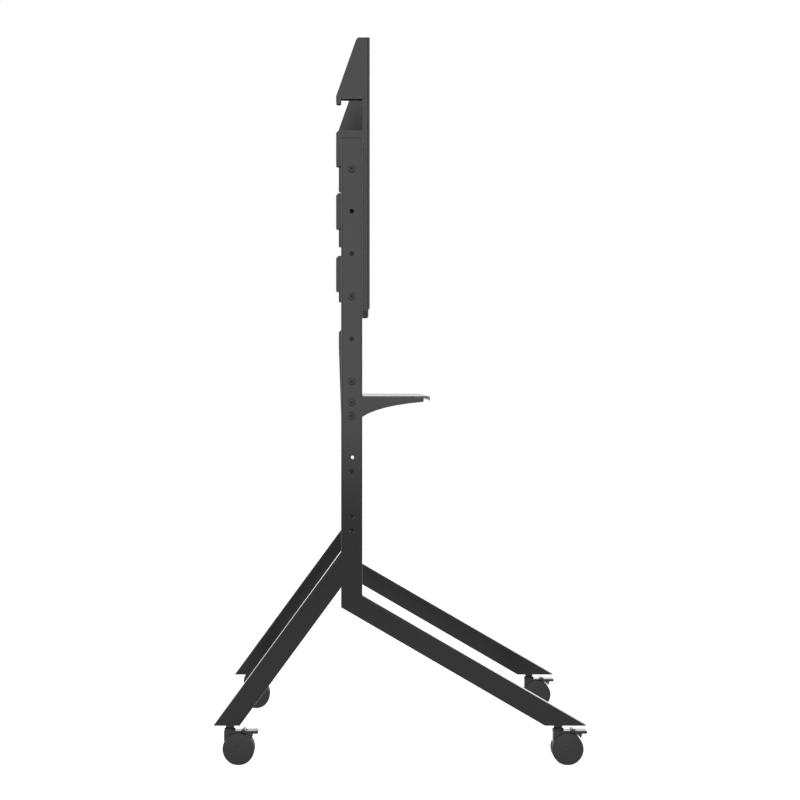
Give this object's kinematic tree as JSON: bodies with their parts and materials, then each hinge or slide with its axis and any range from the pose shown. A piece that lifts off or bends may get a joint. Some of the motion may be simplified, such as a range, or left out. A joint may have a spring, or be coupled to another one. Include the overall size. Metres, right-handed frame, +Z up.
{
  "type": "tv cart",
  "caption": "Wheeled stand for a large flat screen: side frames on braked twin-wheel casters, crossbars, hooked display arms, a front shelf and a cable trough.",
  "frame": {"origin": "on the floor, under the middle of the cart's outline", "axes": "-Y to the front, where the screen hangs; +Z up; the left side frame, as the front faces -Y and the viewer looks along +Y, is at -X"},
  "size_m": [1.0652, 0.8788, 1.724],
  "materials": {
    "frame_coat": "matte powder coat",
    "cap_plastic": "matte",
    "caster_plastic": "matte",
    "wheel_plastic": "matte",
    "black_fasteners": "black zinc"
  },
  "bodies": {
    "frame": {"cable_trough": "frame_coat", "upper_crossbar": "frame_coat", "lower_crossbar": "frame_coat", "shelf": "frame_coat", "left_column": "frame_coat", "left_front_leg": "frame_coat", "left_rear_leg": "frame_coat", "left_front_foot_plate": "frame_coat", "left_rear_foot_plate": "frame_coat", "left_shelf_bracket": "frame_coat", "left_trough_end_plate": "frame_coat", "left_column_cap": "cap_plastic", "left_upper_crossbar_bolt": "black_fasteners", "left_lower_crossbar_bolt": "black_fasteners", "left_trough_bolt": "black_fasteners", "left_upper_shelf_bolt": "black_fasteners", "left_lower_shelf_bolt": "black_fasteners", "left_rear_shelf_screw": "black_fasteners", "left_front_shelf_screw": "black_fasteners", "right_column": "frame_coat", "right_front_leg": "frame_coat", "right_rear_leg": "frame_coat", "right_front_foot_plate": "frame_coat", "right_rear_foot_plate": "frame_coat", "right_shelf_bracket": "frame_coat", "right_trough_end_plate": "frame_coat", "right_column_cap": "cap_plastic", "right_upper_crossbar_bolt": "black_fasteners", "right_lower_crossbar_bolt": "black_fasteners", "right_trough_bolt": "black_fasteners", "right_upper_shelf_bolt": "black_fasteners", "right_lower_shelf_bolt": "black_fasteners", "right_rear_shelf_screw": "black_fasteners", "right_front_shelf_screw": "black_fasteners", "left_front_caster_stem": "black_fasteners", "left_rear_caster_stem": "black_fasteners", "right_front_caster_stem": "black_fasteners", "right_rear_caster_stem": "black_fasteners"},
    "left_arm": {"left_display_arm": "frame_coat"},
    "right_arm": {"right_display_arm": "frame_coat"},
    "left_front_caster_fork": {"left_front_caster_body": "caster_plastic", "left_front_caster_axle": "black_fasteners"},
    "left_front_caster_outer": {"left_front_caster_outer_wheel": "wheel_plastic"},
    "left_front_caster_inner": {"left_front_caster_inner_wheel": "wheel_plastic"},
    "left_front_caster_brake": {"left_front_caster_brake_pedal": "caster_plastic"},
    "left_rear_caster_fork": {"left_rear_caster_body": "caster_plastic", "left_rear_caster_axle": "black_fasteners"},
    "left_rear_caster_outer": {"left_rear_caster_outer_wheel": "wheel_plastic"},
    "left_rear_caster_inner": {"left_rear_caster_inner_wheel": "wheel_plastic"},
    "left_rear_caster_brake": {"left_rear_caster_brake_pedal": "caster_plastic"},
    "right_front_caster_fork": {"right_front_caster_body": "caster_plastic", "right_front_caster_axle": "black_fasteners"},
    "right_front_caster_outer": {"right_front_caster_outer_wheel": "wheel_plastic"},
    "right_front_caster_inner": {"right_front_caster_inner_wheel": "wheel_plastic"},
    "right_front_caster_brake": {"right_front_caster_brake_pedal": "caster_plastic"},
    "right_rear_caster_fork": {"right_rear_caster_body": "caster_plastic", "right_rear_caster_axle": "black_fasteners"},
    "right_rear_caster_outer": {"right_rear_caster_outer_wheel": "wheel_plastic"},
    "right_rear_caster_inner": {"right_rear_caster_inner_wheel": "wheel_plastic"},
    "right_rear_caster_brake": {"right_rear_caster_brake_pedal": "caster_plastic"}
  },
  "joints": [
    {"name": "left_arm_slide", "type": "slide", "parent": "frame", "child": "left_arm", "axis": [1, 0, 0], "range_m": [-0.06, 0.3]},
    {"name": "right_arm_slide", "type": "slide", "parent": "frame", "child": "right_arm", "axis": [1, 0, 0], "range_m": [-0.3, 0.06]},
    {"name": "left_front_caster_swivel", "type": "hinge", "parent": "frame", "child": "left_front_caster_fork", "pos_m": [-0.5025, -0.37235, 0.08], "axis": [0, 0, 1], "continuous": true},
    {"name": "left_front_caster_outer_spin", "type": "hinge", "parent": "left_front_caster_fork", "child": "left_front_caster_outer", "pos_m": [-0.522, -0.39335, 0.0375], "axis": [1, 0, 0], "continuous": true},
    {"name": "left_front_caster_inner_spin", "type": "hinge", "parent": "left_front_caster_fork", "child": "left_front_caster_inner", "pos_m": [-0.483, -0.39335, 0.0375], "axis": [1, 0, 0], "continuous": true},
    {"name": "left_front_caster_brake_press", "type": "hinge", "parent": "left_front_caster_fork", "child": "left_front_caster_brake", "pos_m": [-0.5025, -0.40535, 0.0795], "axis": [1, 0, 0], "range_deg": [0, 6.5]},
    {"name": "left_rear_caster_swivel", "type": "hinge", "parent": "frame", "child": "left_rear_caster_fork", "pos_m": [-0.5025, 0.40115, 0.08], "axis": [0, 0, 1], "continuous": true},
    {"name": "left_rear_caster_outer_spin", "type": "hinge", "parent": "left_rear_caster_fork", "child": "left_rear_caster_outer", "pos_m": [-0.522, 0.38015, 0.0375], "axis": [1, 0, 0], "continuous": true},
    {"name": "left_rear_caster_inner_spin", "type": "hinge", "parent": "left_rear_caster_fork", "child": "left_rear_caster_inner", "pos_m": [-0.483, 0.38015, 0.0375], "axis": [1, 0, 0], "continuous": true},
    {"name": "left_rear_caster_brake_press", "type": "hinge", "parent": "left_rear_caster_fork", "child": "left_rear_caster_brake", "pos_m": [-0.5025, 0.36815, 0.0795], "axis": [1, 0, 0], "range_deg": [0, 6.5]},
    {"name": "right_front_caster_swivel", "type": "hinge", "parent": "frame", "child": "right_front_caster_fork", "pos_m": [0.5025, -0.37235, 0.08], "axis": [0, 0, 1], "continuous": true},
    {"name": "right_front_caster_outer_spin", "type": "hinge", "parent": "right_front_caster_fork", "child": "right_front_caster_outer", "pos_m": [0.522, -0.39335, 0.0375], "axis": [1, 0, 0], "continuous": true},
    {"name": "right_front_caster_inner_spin", "type": "hinge", "parent": "right_front_caster_fork", "child": "right_front_caster_inner", "pos_m": [0.483, -0.39335, 0.0375], "axis": [1, 0, 0], "continuous": true},
    {"name": "right_front_caster_brake_press", "type": "hinge", "parent": "right_front_caster_fork", "child": "right_front_caster_brake", "pos_m": [0.5025, -0.40535, 0.0795], "axis": [1, 0, 0], "range_deg": [0, 6.5]},
    {"name": "right_rear_caster_swivel", "type": "hinge", "parent": "frame", "child": "right_rear_caster_fork", "pos_m": [0.5025, 0.40115, 0.08], "axis": [0, 0, 1], "continuous": true},
    {"name": "right_rear_caster_outer_spin", "type": "hinge", "parent": "right_rear_caster_fork", "child": "right_rear_caster_outer", "pos_m": [0.522, 0.38015, 0.0375], "axis": [1, 0, 0], "continuous": true},
    {"name": "right_rear_caster_inner_spin", "type": "hinge", "parent": "right_rear_caster_fork", "child": "right_rear_caster_inner", "pos_m": [0.483, 0.38015, 0.0375], "axis": [1, 0, 0], "continuous": true},
    {"name": "right_rear_caster_brake_press", "type": "hinge", "parent": "right_rear_caster_fork", "child": "right_rear_caster_brake", "pos_m": [0.5025, 0.36815, 0.0795], "axis": [1, 0, 0], "range_deg": [0, 6.5]}
  ]
}
